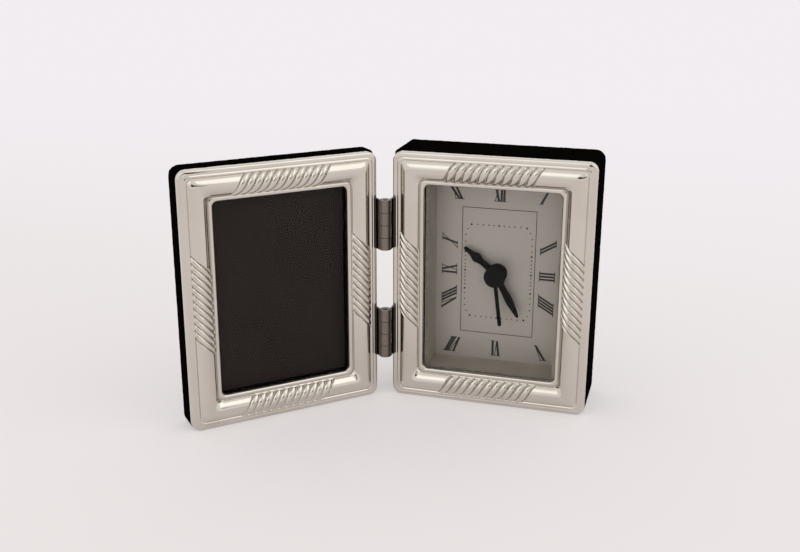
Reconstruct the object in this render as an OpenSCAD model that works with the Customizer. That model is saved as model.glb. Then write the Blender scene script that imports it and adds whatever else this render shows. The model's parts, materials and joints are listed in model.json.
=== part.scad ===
/* [Frames] */
// Width of each frame across the silver front
frame_w = 85.3; // [83:0.1:92]
// Height of each frame, and of the whole piece as it stands
frame_h = 110; // [106:0.5:118]
// Radius of the outer corners, seen from the front
corner_r = 4; // [3.6:0.1:6]
// Depth of the photo half from the rim plane to its back
photo_depth = 14.2; // [13.6:0.1:20]
// Depth of the clock half from the rim plane to its back
clock_depth = 31; // [30:0.5:40]
// Radius round the back edges of the photo case
photo_back_r = 2.2; // [1:0.1:3]
// Radius round the back edges of the clock case
clock_back_r = 3; // [1:0.1:3.4]

/* [Silver moulding] */
// Thickness of the pressed sheet
sheet_t = 0.6; // [0.45:0.05:0.65]
// Depth of the skirt that wraps the front of the case
skirt_depth = 3.3; // [3.1:0.1:4]
// Radius of the rim along the outer edge
rim_r = 1.2; // [1:0.05:1.3]
// Width of the fine groove beside the rim
rim_groove_w = 0.7; // [0.5:0.1:0.9]
// Depth of the fine groove beside the rim
rim_groove_depth = 0.5; // [0.3:0.05:0.6]
// Distance of the ovolo's crest from the outer edge
ovolo_s = 7.3; // [7.1:0.1:7.5]
// Radius of the ovolo
ovolo_r = 4.9; // [4.8:0.05:5.1]
// Height of the ovolo's crest in front of the rim plane
ovolo_crest = 1.5; // [1.2:0.05:1.6]
// Width of the moulding from the outer edge to the window
moulding_w = 13.7; // [13.6:0.1:14.5]
// Height of the inner lip, below the rim plane
lip_drop = 0.95; // [0.8:0.05:1.1]
// Depth of the window's edge behind the rim plane
window_drop = 2.2; // [2:0.05:2.4]
// Radius of the window's corners
window_r = 2.2; // [1.6:0.1:3.5]

/* [Reeds] */
// Number of reeds at the middle of each side
reed_count = 11; // [5:1:13]
// Distance from reed to reed along the side
reed_pitch = 3.6; // [3.55:0.05:4]
// Slant of the reeds from square across the moulding, in degrees
reed_slant = 39; // [36:1:40]
// Radius of one reed's round back
reed_r = 1.36; // [1.2:0.02:1.36]
// Radius of the arch that a reed makes over the ovolo
reed_arch_r = 7.7; // [7.6:0.05:7.9]
// Height of the reeds above the ovolo's crest
reed_proud = 0.35; // [0.25:0.05:0.4]
// Depth of the bed that is sunk between the reeds
reed_bed_drop = 0.3; // [0.2:0.05:0.3]

/* [Hinges] */
// Radius of the hinge barrels, and the gap from the pin to each frame's side
barrel_r = 2.5; // [2.4:0.05:3]
// Distance of the hinge pins in front of the rim plane
hinge_forward = 2; // [2:0.05:2.6]
// Length of each hinge
hinge_l = 22; // [20:0.5:26]
// Distance of each hinge's middle from the point halfway between the hinges
hinge_offset = 24.5; // [22:0.5:30]
// Distance of that point below the middle of the frame's height
hinge_drop = 0.7; // [0:0.1:2]
// Thickness of the hinge leaves
leaf_t = 0.8; // [0.6:0.05:1]
// Width of the hinge leaves along the side of the case
leaf_w = 10; // [9:0.5:10.5]
// Radius of the hinge pins
hinge_pin_r = 0.8; // [0.6:0.05:1]
// Angle between the two fronts as it stands, in degrees
open_angle = 136; // [100:1:175]

/* [Glass and photo slot] */
// Thickness of the two glass panes
glass_t = 1.5; // [1.2:0.1:1.8]
// Overlap of the glass behind the silver lip
glass_overlap = 2.5; // [2:0.1:3]
// Width of the photo backing board
backing_w = 64.6; // [62:0.1:65]
// Thickness of the photo backing board
backing_t = 2.2; // [1.6:0.1:2.6]
// Clearance of the backing board in its slot, on each side
backing_fit = 0.3; // [0.2:0.05:0.4]
// Radius of the thumb hole in the back of the photo case
thumb_hole_r = 8; // [6:0.5:10]
// Distance of the thumb hole's middle from the top
thumb_hole_drop = 30; // [22:1:55]

/* [Dial] */
// Depth of the dial's face behind the rim plane
dial_depth = 18.9; // [17.5:0.1:19.2]
// Thickness of the dial plate
dial_t = 0.8; // [0.6:0.1:1]
// Width of the grey well in front of the dial
well_w = 55.5; // [52:0.5:57]
// Height of the grey well in front of the dial
well_h = 82.3; // [78:0.1:84]
// Wall of the grey well
well_t = 1.2; // [0.8:0.1:1.4]

/* [Hands] */
// Length of the hour hand from the centre
hour_l = 18.2; // [16:0.1:22]
// Length of the minute hand from the centre
minute_l = 21.2; // [20:0.1:26]
// Length of the second hand from the centre
second_l = 22.4; // [20:0.1:26]
// Radius of the round caps on the hands
hand_cap_r = 4.3; // [3.8:0.1:5]
// Thickness of the hands
hand_t = 0.4; // [0.3:0.05:0.5]
// Angle of the hour hand, clockwise from twelve
hour_angle = 306.7; // [0:0.1:360]
// Angle of the minute hand, clockwise from twelve
minute_angle = 151.2; // [0:0.1:360]
// Angle of the second hand, clockwise from twelve
second_angle = 172.6; // [0:0.1:360]

/* [Movement] */
// Side of the square movement case
movement_s = 56; // [55.6:0.1:56.4]
// Depth of the movement case
movement_d = 12.3; // [12.2:0.1:14]
// Wall of the movement case
movement_t = 1.2; // [1:0.1:1.3]
// Radius of the threaded bush through the dial
bush_r = 3.2; // [3.1:0.05:3.5]
// Radius of the set knob
knob_r = 4.5; // [3.5:0.1:5]
// Height of the set knob
knob_h = 2.4; // [2:0.1:4]
// Radius of the battery cell
cell_r = 5.15; // [5:0.05:5.2]
// Length of the battery cell
cell_l = 44.2; // [43:0.1:44.5]
// Running clearance round the shafts and pivots
shaft_fit = 0.05; // [0.03:0.01:0.08]

/* [Hidden] */
$fn = 64;

silver = [0.86, 0.83, 0.78];
flock = [0.05, 0.05, 0.05];
steel = [0.45, 0.43, 0.41];
grey = [0.62, 0.59, 0.55];
ink = [0.08, 0.07, 0.07];
nylon = [0.9, 0.9, 0.87];

// Each half is drawn lying on its back: X to the right, Y up the frame, Z towards the viewer,
// with the rim plane at Z = 0 and the lower left corner of the front at the origin.
clock_mid = clock_depth / 2;
pin_x = -frame_w / 2 - barrel_r;
pin_y = -clock_mid - hinge_forward;
fold = 180 - open_angle;
cut = 1;
join = 0.05;

// Sheet metal and case seat
window_w = frame_w - 2 * moulding_w;
window_h = frame_h - 2 * moulding_w;
seat_z = -window_drop - 0.5;
lip_s = moulding_w - 2;
groove_s = rim_r + 0.5 + rim_groove_w / 2;
bead_s = groove_s + rim_groove_w / 2;
ovolo_s0 = ovolo_s - 3.8;
ovolo_s1 = ovolo_s + 4.2;
arc_steps = 12;
glass_w = window_w + 2 * glass_overlap;
glass_h = window_h + 2 * glass_overlap;
glass_fit = 0.15;
glass_back = seat_z - glass_t;

// Photo slot
ledge_t = 0.8;
slot_front = glass_back - ledge_t;
slot_back = slot_front - backing_t - backing_fit;
slot_w = backing_w + 2 * backing_fit;
slot_foot = 9;
backing_sunk = 1;

// Dial and hands, as heights in front of the dial
dial_z = -dial_depth;
well_fit = 0.2;
pocket_w = well_w + 2 * (well_t + well_fit);
pocket_h = well_h + 2 * (well_t + well_fit);
washer_t = 0.3;
nut_h = 1.4;
bush_top = 2;
hour_z = 2.5;
minute_z = 3.8;
second_z = 7;
second_cap_h = 0.6;
arbor_r = 0.5;
cannon_ri = arbor_r + shaft_fit;
cannon_ro = 1.5;
hour_ri = cannon_ro + shaft_fit;
hour_ro = 2.4;

// Movement, as depths behind its front face, from which the wheels hang in layers
movement_z = dial_z - dial_t;
wheel_t = 0.7;
layer_gap = 0.1;
hour_layer = 1.6;
motion_layer = 2.7;
centre_layer = 3.8;
third_layer = 4.9;
seconds_layer = 6;
intermediate_layer = 7.1;
rotor_layer = 8.2;
pivot_r = 0.4;
pivot_in = 0.7;
back_inside = movement_d - movement_t;

// Teeth of the going train and the motion work
centre_teeth = 64;
third_pinion = 8;
third_teeth = 60;
seconds_pinion = 8;
seconds_teeth = 40;
intermediate_pinion = 8;
intermediate_teeth = 48;
rotor_pinion = 8;
cannon_pinion = 12;
motion_teeth = 36;
motion_pinion = 10;
hour_teeth = 40;

// Centre distances, and where each arbor stands round the hands
third_dist = 10.8;
intermediate_dist = 10.8;
rotor_dist = 8.4;
motion_dist = 11.25;
third_dir = 80;
intermediate_dir = 175;
rotor_dir = 110;
motion_dir = -20;
function polar(r, a) = [r * cos(a), r * sin(a)];
third_at = polar(third_dist, third_dir);
intermediate_at = polar(intermediate_dist, intermediate_dir);
rotor_at = intermediate_at + polar(rotor_dist, rotor_dir);
motion_at = polar(motion_dist, motion_dir);

// Battery bay along the bottom of the movement
cell_y = -movement_s / 2 + movement_t + 0.6 + cell_r;
cell_z = -movement_d + 0.4 + cell_r;
bay_top = cell_y + cell_r + 0.5;
rib_t = 0.8;
contact_t = 0.4;

// Half placements

module clock_half() {
    translate([-frame_w / 2, -clock_mid, 0]) rotate([90, 0, 0]) children();
}

module photo_half() {
    translate([pin_x, pin_y, 0])
        rotate([0, 0, fold])
        translate([-barrel_r - frame_w, hinge_forward, 0])
        rotate([90, 0, 0])
        children();
}

// Places its children at the hand axis, with Z counted from z
module at_hands(z) {
    translate([frame_w / 2, frame_h / 2, z]) children();
}

// Shapes shared by both halves

// Rectangle with rounded corners, from the origin
module rounded_rect(w, h, r) {
    translate([r, 0]) square([w - 2 * r, h]);
    translate([0, r]) square([w, h - 2 * r]);
    for (x = [r, w - r]) for (y = [r, h - r]) translate([x, y]) circle(r);
}

// Runs its children once for each side of the frame, with X along the side and Y inwards
module each_side() {
    for (i = [0:3]) {
        $side_l = i % 2 == 0 ? frame_w : frame_h;
        corner = [[0, 0], [frame_w, 0], [frame_w, frame_h], [0, frame_h]][i];
        translate([corner[0], corner[1], 0]) rotate([0, 0, 90 * i]) children();
    }
}

// Straight bar with the profile of distance inwards and height
module bar(length, points) {
    rotate([90, 0, 90]) linear_extrude(length) polygon(points);
}

// Ring round the frame whose corners turn about the corner radius
module rounded_ring(points) {
    each_side() {
        translate([corner_r, 0, 0]) bar($side_l - 2 * corner_r, points);
        translate([corner_r, corner_r, 0])
            rotate([0, 0, 180])
            rotate_extrude(angle = 90)
            polygon([for (p = points) [corner_r - p[0], p[1]]]);
    }
}

// Ring round the frame with mitred corners. Each side is two half bars that join in its middle, so that both
// sides of a mitre start at the corner and meet exactly.
module mitred_ring(points, z0, z1) {
    for (far_x = [0, 1]) for (far_y = [0, 1])
        translate([far_x * frame_w, far_y * frame_h, 0]) mirror([far_x, 0, 0]) mirror([0, far_y, 0]) {
            mitred_bar(frame_w / 2 + join, points, z0, z1);
            rotate([0, 0, -90]) mirror([1, 0, 0]) mitred_bar(frame_h / 2 + join, points, z0, z1);
        }
}

// Bar from a mitred corner at the origin to a square end
module mitred_bar(length, points, z0, z1) {
    reach = moulding_w + cut;
    intersection() {
        bar(length, points);
        translate([0, 0, z0]) linear_extrude(z1 - z0) polygon([[0, 0], [length, 0], [length, reach], [reach, reach]]);
    }
}

// Silver front: one pressed sheet with a rim, a fine groove, an ovolo with reeds, and a lip

function ovolo_z(s, r) = ovolo_crest - ovolo_r + sqrt(r * r - (s - ovolo_s) * (s - ovolo_s));

// Points of an arc of radius r over the ovolo, from s0 to s1
function ovolo_arc(r, s0, s1) = [for (i = [0:arc_steps])
    let (a0 = acos((s0 - ovolo_s) / r), a1 = acos((s1 - ovolo_s) / r), a = a0 + (a1 - a0) * i / arc_steps)
    [ovolo_s + r * cos(a), ovolo_crest - ovolo_r + r * sin(a)]];

// Points of the rim's quarter round
function rim_arc(r) = [for (a = [180:-15:90]) [rim_r + r * cos(a), -rim_r + r * sin(a)]];

// Outside of the sheet from the skirt to the start of the ovolo
rim_outside = concat([[0, -skirt_depth]], rim_arc(rim_r), [
    [groove_s - rim_groove_w / 2, 0],
    [groove_s, -rim_groove_depth],
    [bead_s, -0.05],
    [ovolo_s0 - 0.35, -0.05],
    [ovolo_s0, ovolo_z(ovolo_s0, ovolo_r)]]);

// Inside of the sheet over the same stretch
rim_inside = concat([[sheet_t, -skirt_depth - cut]], rim_arc(rim_r - sheet_t), [
    [groove_s - rim_groove_w / 2, -sheet_t],
    [groove_s, -sheet_t - rim_groove_depth],
    [ovolo_s0, ovolo_z(ovolo_s0, ovolo_r) - sheet_t]]);

lip_outside = [
    [lip_s, -lip_drop - 0.25],
    [lip_s + 0.3, -lip_drop],
    [moulding_w - 0.7, -lip_drop - 0.05],
    [moulding_w - 0.25, -lip_drop - 0.35],
    [moulding_w, -window_drop]];

lip_inside = [
    [lip_s - 0.2, -lip_drop - 0.35 - sheet_t],
    [moulding_w - 0.95, -lip_drop - sheet_t],
    [moulding_w - sheet_t, -window_drop]];

// The rim as far in as the corner radius, and the rest of the moulding as one mitred strip
module front_outside() {
    floor_z = -skirt_depth;
    rim = concat(rim_outside, [[corner_r, ovolo_z(corner_r, ovolo_r)], [corner_r, floor_z]]);
    rest = concat(
        [[corner_r, floor_z]],
        ovolo_arc(ovolo_r, corner_r, ovolo_s1),
        lip_outside,
        [[moulding_w, seat_z], [moulding_w, floor_z]]);
    rounded_ring(rim);
    mitred_ring(rest, floor_z - cut, ovolo_crest + cut);
    window_corners();
}

// The lip's edge turned round each corner of the window
module window_corners() {
    reach = window_r * (sqrt(2) - 1) + join;
    edge = concat(
        [[moulding_w, seat_z], [moulding_w - reach, seat_z], [moulding_w - reach, -lip_drop - 0.05]],
        [for (i = [2:len(lip_outside) - 1]) lip_outside[i]]);
    at = moulding_w + window_r;
    for (far_x = [0, 1]) for (far_y = [0, 1])
        translate([far_x * frame_w, far_y * frame_h, 0]) mirror([far_x, 0, 0]) mirror([0, far_y, 0])
            translate([at, at, 0]) rotate([0, 0, 180]) rotate_extrude(angle = 90)
            polygon([for (p = edge) [at - p[0], p[1]]]);
}

// The hollow behind the sheet
module front_hollow() {
    floor_z = -skirt_depth - cut;
    hollow_r = ovolo_r - sheet_t;
    in_s = max(corner_r, ovolo_s - hollow_r + 0.2);
    rounded_ring(concat(rim_inside, [[corner_r, ovolo_z(corner_r, ovolo_r) - sheet_t - 0.1], [corner_r, floor_z]]));
    mitred_ring(concat(
        [[corner_r - join, floor_z], [corner_r - join, ovolo_z(corner_r, ovolo_r) - sheet_t - 0.1]],
        ovolo_arc(hollow_r, in_s, ovolo_s1 - 0.6),
        lip_inside,
        [[moulding_w - sheet_t, floor_z]]), floor_z - cut, ovolo_crest);
    // Below the seat the lip ends, so that glass and case fit behind it
    mitred_ring([[corner_r, floor_z], [corner_r, seat_z], [moulding_w + cut, seat_z], [moulding_w + cut, floor_z]],
        floor_z - cut, 0);
}

// Sunk bed with slanted ends under the reeds of one side
module reed_bed(length) {
    half = (reed_count * reed_pitch) / 2;
    lean = tan(reed_slant);
    bed_r = ovolo_r - reed_bed_drop;
    s0 = ovolo_s0 + 0.3;
    s1 = ovolo_s1 - 0.3;
    intersection() {
        bar(length, concat(ovolo_arc(bed_r, s0, s1), [[s1, ovolo_crest + cut], [s0, ovolo_crest + cut]]));
        translate([length / 2, ovolo_s, -skirt_depth]) linear_extrude(skirt_depth + ovolo_crest + cut)
            polygon([for (q = [[-half, s0 - ovolo_s], [half, s0 - ovolo_s], [half, s1 - ovolo_s], [-half, s1 - ovolo_s]])
                [q[0] + lean * q[1], q[1]]]);
    }
}

// One reed: a round bar bent over the ovolo, whose ends sink into the rim and the lip
module reed() {
    sweep = 110;
    rotate([0, 0, 90 - reed_slant])
        rotate([90, 0, 0])
        rotate([0, 0, 90 - sweep / 2])
        rotate_extrude(angle = sweep)
        translate([reed_arch_r - reed_r, 0])
        circle(reed_r);
}

module reeds(length) {
    reed_s = ovolo_s - 0.35;
    for (i = [0:reed_count - 1])
        translate([length / 2 + (i - (reed_count - 1) / 2) * reed_pitch, reed_s, ovolo_crest + reed_proud - reed_arch_r])
            reed();
}

module silver_front() {
    color(silver) difference() {
        union() {
            difference() {
                front_outside();
                each_side() reed_bed($side_l);
            }
            each_side() reeds($side_l);
        }
        front_hollow();
    }
}

module photo_front() {
    photo_half() silver_front();
}

module clock_front() {
    clock_half() silver_front();
}

// Glass panes

module pane() {
    color([0.8, 0.85, 0.85, 0.3])
        translate([(frame_w - glass_w) / 2 + glass_fit, (frame_h - glass_h) / 2 + glass_fit, glass_back])
        cube([glass_w - 2 * glass_fit, glass_h - 2 * glass_fit, glass_t]);
}

module photo_glass() {
    photo_half() pane();
}

module clock_glass() {
    clock_half() pane();
}

// Cases: flocked wooden blocks whose front edge steps in under the silver skirt

// Solid block to the given depth, with rounded corners and rounded back edges
module case_block(depth, back_r) {
    edge = concat(
        [[0, -skirt_depth]],
        [for (a = [180:15:270]) [back_r + back_r * cos(a), back_r - depth + back_r * sin(a)]],
        [[corner_r, -depth], [corner_r, -skirt_depth]]);
    step = sheet_t + 0.05;
    rounded_ring(edge);
    translate([corner_r - join, corner_r - join, -depth])
        cube([frame_w - 2 * (corner_r - join), frame_h - 2 * (corner_r - join), depth - skirt_depth]);
    translate([step, step, -skirt_depth - join])
        linear_extrude(skirt_depth + seat_z + join)
        rounded_rect(frame_w - 2 * step, frame_h - 2 * step, corner_r - step);
}

// Rebate for the glass, open to the front
module glass_rebate() {
    translate([(frame_w - glass_w) / 2, (frame_h - glass_h) / 2, glass_back]) cube([glass_w, glass_h, glass_t + cut]);
}

// Box centred on the frame's middle, from z0 back to z1
module middle_box(w, h, z0, z1) {
    translate([(frame_w - w) / 2, (frame_h - h) / 2, z1]) cube([w, h, z0 - z1]);
}

// Pilot holes for the screws of both leaves, on the side at x
module screw_holes(x, inward) {
    each_screw(x) rotate([0, 90 * inward, 0]) cylinder(r = screw_r, h = screw_l);
}

module photo_case() {
    color(flock) photo_half() difference() {
        case_block(photo_depth, photo_back_r);
        glass_rebate();
        middle_box(window_w + 1, window_h + 1, glass_back + cut, slot_front - cut);
        // Slot for the backing board, open at the top
        translate([(frame_w - slot_w) / 2, slot_foot, slot_back])
            cube([slot_w, frame_h - slot_foot + cut, slot_front - slot_back]);
        // Thumb hole, by which the board is pushed up
        translate([frame_w / 2, frame_h - thumb_hole_drop, -photo_depth - cut])
            cylinder(r = thumb_hole_r, h = photo_depth + cut + slot_back + join);
        screw_holes(frame_w, -1);
    }
}

// Board that slides up out of the slot, so that a print can be laid against the glass
module photo_backing() {
    color([0.15, 0.12, 0.12]) photo_half()
        translate([(frame_w - backing_w) / 2, slot_foot, slot_back + backing_fit / 2])
        cube([backing_w, frame_h - slot_foot - backing_sunk, backing_t]);
}

module clock_case() {
    color(flock) clock_half() difference() {
        case_block(clock_depth, clock_back_r);
        glass_rebate();
        middle_box(pocket_w, pocket_h, glass_back + cut, movement_z);
        middle_box(movement_s + 0.6, movement_s + 0.6, movement_z + cut, -clock_depth - cut);
        screw_holes(0, 1);
    }
}

// Grey well between the glass and the dial

module dial_well() {
    out_w = well_w + 2 * well_t;
    out_h = well_h + 2 * well_t;
    color(grey) clock_half() difference() {
        middle_box(out_w, out_h, glass_back, dial_z);
        middle_box(well_w, well_h, glass_back + cut, dial_z - cut);
    }
}

module dial() {
    color(grey) clock_half() difference() {
        middle_box(well_w + 2 * well_t, well_h + 2 * well_t, dial_z, dial_z - dial_t);
        at_hands(dial_z - dial_t - cut) cylinder(r = bush_r, h = dial_t + 2 * cut);
    }
}

module dial_washer() {
    color(ink) clock_half() at_hands(dial_z) difference() {
        cylinder(r = hand_cap_r, h = washer_t);
        translate([0, 0, -cut]) cylinder(r = bush_r, h = washer_t + 2 * cut);
    }
}

module dial_nut() {
    color(ink) clock_half() at_hands(dial_z + washer_t) difference() {
        cylinder(r = hand_cap_r, h = nut_h, $fn = 6);
        translate([0, 0, -cut]) cylinder(r = bush_r, h = nut_h + 2 * cut);
    }
}

// Hands: a cap with a leaf outline of distance from the centre and half width

module leaf_hand(outline, cap, bore, angle) {
    rotate([0, 0, -angle]) linear_extrude(hand_t) difference() {
        union() {
            circle(cap);
            polygon(concat(
                [for (p = outline) [p[1], p[0]]],
                [for (i = [len(outline) - 1:-1:0]) [-outline[i][1], outline[i][0]]]));
        }
        circle(bore);
    }
}

hour_outline = [[2.8, 1.4], [8, 1.4], [9.4, 1.75], [10.8, 2.2], [12, 2.25], [13.2, 1.8], [14.6, 1.15],
    [16, 0.85], [hour_l - 0.6, 0.7], [hour_l, 0.35]];
minute_outline = [[2.8, 0.95], [6.5, 1.05], [9, 1.35], [11, 1.65], [12.6, 1.7], [14.4, 1.45], [16.6, 1.05],
    [18.8, 0.75], [minute_l - 0.5, 0.6], [minute_l, 0.3]];

module hour_hand() {
    color(ink) clock_half() at_hands(dial_z + hour_z)
        leaf_hand(hour_outline, hand_cap_r, hour_ro, hour_angle);
}

module minute_hand() {
    color(ink) clock_half() at_hands(dial_z + minute_z)
        leaf_hand(minute_outline, hand_cap_r - 0.4, cannon_ro, minute_angle);
}

// Second hand: a plain baton under a domed cap, with a socket that grips the arbor
baton_w = 1.6;

module second_hand() {
    half = baton_w / 2;
    socket_l = second_z - minute_z - hand_t - 0.8;
    color(ink) clock_half() at_hands(dial_z + second_z) difference() {
        union() {
            cylinder(r = hand_cap_r, h = second_cap_h);
            rotate([0, 0, -second_angle]) linear_extrude(hand_t) {
                translate([-half, 0]) square([2 * half, second_l - half]);
                translate([0, second_l - half]) circle(half);
            }
            translate([0, 0, -socket_l]) cylinder(r = 1.1, h = socket_l + join);
        }
        translate([0, 0, -socket_l - cut]) cylinder(r = arbor_r, h = socket_l + cut);
    }
}

// Movement case

module in_movement() {
    clock_half() at_hands(movement_z) children();
}

// Pivot hole of radius r at the place p, from z down to z - depth
module pivot_hole(p, r, z, depth) {
    translate([p[0], p[1], z - depth]) cylinder(r = r, h = depth);
}

module movement_front() {
    color([0.12, 0.12, 0.13]) in_movement() difference() {
        union() {
            translate([-movement_s / 2, -movement_s / 2, -movement_t]) cube([movement_s, movement_s, movement_t]);
            cylinder(r = bush_r, h = dial_t + bush_top);
        }
        translate([0, 0, -movement_t - cut])
            cylinder(r = hour_ro + shaft_fit, h = movement_t + dial_t + bush_top + 2 * cut);
        for (p = [third_at, intermediate_at, rotor_at, motion_at])
            pivot_hole(p, pivot_r + shaft_fit, -movement_t + pivot_in, pivot_in + cut);
    }
}

module movement_back() {
    inner = movement_s - 2 * movement_t;
    rib_y = bay_top;
    color([0.12, 0.12, 0.13]) in_movement() difference() {
        translate([-movement_s / 2, -movement_s / 2, -movement_d])
            cube([movement_s, movement_s, movement_d - movement_t]);
        // Room for the wheels
        translate([-inner / 2, rib_y + rib_t, -back_inside])
            cube([inner, inner / 2 - rib_y - rib_t, movement_d]);
        // Battery bay, open at the back
        translate([-cell_l / 2 - contact_t, -inner / 2, -movement_d - cut])
            cube([cell_l + 2 * contact_t, rib_y + inner / 2, movement_d + cut]);
        for (p = [third_at, intermediate_at, rotor_at, [0, 0]])
            pivot_hole(p, (p == [0, 0] ? arbor_r : pivot_r) + shaft_fit, -back_inside + cut, pivot_in + cut);
        pivot_hole(motion_at, knob_shaft_r + shaft_fit, -back_inside + cut, movement_t + 2 * cut);
    }
}

// Wheels: every tooth is cut straight with an ogive tip, and pairs mesh on the line between their centres

// Outline of a toothed wheel with n teeth of module m, with a tooth at the angle phase
function teeth(n, m, phase) = [for (i = [0:n - 1]) for (q = tooth_shape)
    polar(m * (n / 2 + q[1]), phase + 360 / n * (i + q[0]))];
tooth_shape = [[-0.2, -1.2], [-0.15, -0.1], [-0.06, 0.75], [0.06, 0.75], [0.15, -0.1], [0.2, -1.2]];

// Wheel of n teeth hanging at a layer
module wheel(n, m, phase, layer, thick = wheel_t) {
    translate([0, 0, -layer - thick]) linear_extrude(thick) polygon(teeth(n, m, phase));
}

// Round part of an arbor from depth z0 to depth z1
module arbor(r, z0, z1) {
    translate([0, 0, -z1]) cylinder(r = r, h = z1 - z0);
}

third_m = 2 * third_dist / (centre_teeth + third_pinion);
seconds_m = 2 * third_dist / (third_teeth + seconds_pinion);
intermediate_m = 2 * intermediate_dist / (seconds_teeth + intermediate_pinion);
rotor_m = 2 * rotor_dist / (intermediate_teeth + rotor_pinion);
motion_m = 2 * motion_dist / (cannon_pinion + motion_teeth);
hour_m = 2 * motion_dist / (motion_pinion + hour_teeth);
knob_shaft_r = 0.8;

// Tube that carries the minute hand, with the pinion that turns the motion wheel. The centre wheel rides on
// its lower end as a slipping clutch, so that the hands can be set while the train stands still.
module minute_pinion() {
    foot = centre_layer + wheel_t;
    color(nylon) in_movement() difference() {
        union() {
            wheel(cannon_pinion, motion_m, motion_dir, motion_layer, centre_layer - motion_layer - layer_gap);
            arbor(cannon_ro, -dial_t - minute_z - hand_t - 0.4, foot + layer_gap);
            arbor(cannon_ro + 0.3, foot + layer_gap - join, foot + layer_gap + 0.1);
        }
        arbor(cannon_ri, -dial_t - minute_z - 2, foot + cut);
    }
}

module centre_wheel() {
    color(nylon) in_movement() difference() {
        wheel(centre_teeth, third_m, third_dir, centre_layer);
        arbor(cannon_ro + shaft_fit, centre_layer - cut, centre_layer + wheel_t + cut);
    }
}

module hour_wheel() {
    color(nylon) in_movement() difference() {
        union() {
            wheel(hour_teeth, hour_m, motion_dir, hour_layer);
            arbor(hour_ro, -dial_t - hour_z - hand_t - 0.2, hour_layer + join);
        }
        arbor(hour_ri, -dial_t - hour_z - 2, hour_layer + wheel_t + cut);
    }
}

module motion_wheel() {
    half_tooth = 180 / motion_teeth;
    half_leaf = 180 / motion_pinion;
    color(nylon) in_movement() translate([motion_at[0], motion_at[1], 0]) {
        wheel(motion_teeth, motion_m, motion_dir + 180 + half_tooth, motion_layer);
        wheel(motion_pinion, hour_m, motion_dir + 180 + half_leaf, hour_layer, motion_layer - hour_layer + join);
        arbor(pivot_r, movement_t - pivot_in + 0.1, hour_layer + join);
        arbor(knob_shaft_r, motion_layer + wheel_t - join, movement_d + 0.3 + knob_h - 0.5);
    }
}

// Knurled knob on the end of the motion wheel's arbor
module set_knob() {
    knurls = 24;
    color([0.12, 0.12, 0.13]) in_movement() translate([motion_at[0], motion_at[1], -movement_d - 0.3 - knob_h])
        difference() {
            linear_extrude(knob_h)
                polygon([for (i = [0:2 * knurls - 1]) polar(knob_r - (i % 2) * 0.3, 180 / knurls * i)]);
            translate([0, 0, 0.5]) cylinder(r = knob_shaft_r, h = knob_h);
        }
}

module third_wheel() {
    half_leaf = 180 / third_pinion;
    color(nylon) in_movement() translate([third_at[0], third_at[1], 0]) {
        wheel(third_pinion, third_m, third_dir + 180 + half_leaf, centre_layer, third_layer - centre_layer + join);
        wheel(third_teeth, seconds_m, third_dir + 180, third_layer);
        arbor(pivot_r, movement_t - pivot_in + 0.1, centre_layer + join);
        arbor(pivot_r, third_layer + wheel_t - join, back_inside + pivot_in - 0.1);
    }
}

module seconds_wheel() {
    half_leaf = 180 / seconds_pinion;
    color(nylon) in_movement() {
        wheel(seconds_pinion, seconds_m, third_dir + half_leaf, third_layer, seconds_layer - third_layer + join);
        wheel(seconds_teeth, intermediate_m, intermediate_dir, seconds_layer);
        arbor(arbor_r, -dial_t - second_z, third_layer + join);
        arbor(arbor_r, seconds_layer + wheel_t - join, back_inside + pivot_in - 0.1);
    }
}

module intermediate_wheel() {
    half_leaf = 180 / intermediate_pinion;
    color(nylon) in_movement() translate([intermediate_at[0], intermediate_at[1], 0]) {
        wheel(intermediate_pinion, intermediate_m, intermediate_dir + 180 + half_leaf, seconds_layer,
            intermediate_layer - seconds_layer + join);
        wheel(intermediate_teeth, rotor_m, rotor_dir, intermediate_layer);
        arbor(pivot_r, movement_t - pivot_in + 0.1, seconds_layer + join);
        arbor(pivot_r, intermediate_layer + wheel_t - join, back_inside + pivot_in - 0.1);
    }
}

magnet_r = 3;
magnet_h = 1.6;

module rotor() {
    half_leaf = 180 / rotor_pinion;
    color(steel) in_movement() translate([rotor_at[0], rotor_at[1], 0]) {
        wheel(rotor_pinion, rotor_m, rotor_dir + 180 + half_leaf, intermediate_layer,
            rotor_layer - intermediate_layer + join);
        arbor(magnet_r, rotor_layer, rotor_layer + magnet_h);
        arbor(pivot_r, movement_t - pivot_in + 0.1, intermediate_layer + join);
        arbor(pivot_r, rotor_layer + magnet_h - join, back_inside + pivot_in - 0.1);
    }
}

// Stepping motor: a laminated stator round the rotor, and a coil across its two legs

coil_y = 22.3;
coil_r = 2.4;
core_r = 0.9;
leg_w = 4.5;
coil_x0 = -24;
coil_x1 = -4;
stator_t = 0.8;
stator_layer = rotor_layer + (magnet_h - stator_t) / 2;

module stator() {
    ring_r = magnet_r + 2.2;
    color(steel) in_movement() translate([0, 0, -stator_layer - stator_t]) linear_extrude(stator_t) difference() {
        union() {
            translate(rotor_at) circle(ring_r);
            translate([coil_x0, rotor_at[1] - 2]) square([coil_x1 - coil_x0, 4]);
            for (x = [coil_x0, coil_x1 - leg_w])
                translate([x, rotor_at[1] - 2]) square([leg_w, coil_y + 2 - rotor_at[1] + 2]);
        }
        translate(rotor_at) circle(magnet_r + 0.4);
    }
}

module coil_bobbin() {
    flange_t = 0.7;
    x0 = coil_x0 + leg_w;
    x1 = coil_x1 - leg_w;
    color(nylon) in_movement() translate([0, coil_y, -stator_layer + coil_r + 0.3]) rotate([0, 90, 0]) {
        translate([0, 0, coil_x0]) cylinder(r = core_r, h = coil_x1 - coil_x0);
        for (x = [x0, x1 - flange_t]) translate([0, 0, x]) cylinder(r = coil_r, h = flange_t);
        // Feet of the core on the stator's legs
        for (x = [coil_x0, coil_x1 - leg_w])
            translate([0, -core_r, x]) cube([coil_r + 0.3, 2 * core_r, leg_w]);
    }
}

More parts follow.
